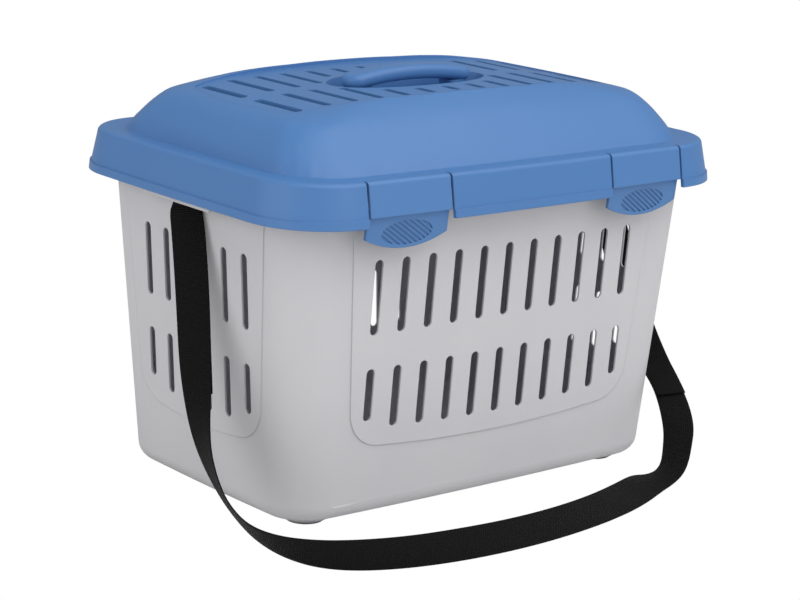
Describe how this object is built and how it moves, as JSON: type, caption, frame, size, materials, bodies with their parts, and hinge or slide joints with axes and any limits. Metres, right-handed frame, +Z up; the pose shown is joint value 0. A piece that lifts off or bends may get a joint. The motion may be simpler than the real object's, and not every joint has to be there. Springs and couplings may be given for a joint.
{
  "type": "small animal carrier",
  "caption": "Hard plastic small animal carrier: slotted tub, domed vented lid on a rear hinge, front latch flaps, top handle and webbing shoulder strap.",
  "frame": {"origin": "on the floor under the middle of the carrier, strap left out", "axes": "+Z up; -Y is the front with the two latch flaps; X runs along the carrier's long side"},
  "size_m": [0.4725, 0.3824, 0.324],
  "materials": {
    "tub_grey": "satin",
    "lid_blue": "satin",
    "handle_blue": "satin",
    "latch_blue": "satin",
    "pin_grey": "satin",
    "pad_rubber": "matte",
    "strap_webbing": "woven"
  },
  "bodies": {
    "tub_body": {"tub": "tub_grey", "foot_pad_front_left": "pad_rubber", "foot_pad_front_right": "pad_rubber", "foot_pad_rear_left": "pad_rubber", "foot_pad_rear_right": "pad_rubber", "hinge_pin_left": "pin_grey", "hinge_pin_right": "pin_grey", "shoulder_strap": "strap_webbing", "strap_end_left": "strap_webbing", "strap_end_right": "strap_webbing"},
    "lid_body": {"lid": "lid_blue", "handle": "handle_blue"},
    "latch_left_flap": {"latch_left": "latch_blue"},
    "latch_right_flap": {"latch_right": "latch_blue"}
  },
  "joints": [
    {"name": "lid_hinge", "type": "hinge", "parent": "tub_body", "child": "lid_body", "pos_m": [0, 0.147, 0.246], "axis": [-1, 0, 0], "range_deg": [0, 100]},
    {"name": "latch_left_hinge", "type": "hinge", "parent": "lid_body", "child": "latch_left_flap", "pos_m": [-0.118, -0.1457, 0.2703], "axis": [-1, 0, 0], "range_deg": [0, 55]},
    {"name": "latch_right_hinge", "type": "hinge", "parent": "lid_body", "child": "latch_right_flap", "pos_m": [0.118, -0.1457, 0.2703], "axis": [-1, 0, 0], "range_deg": [0, 55]}
  ]
}
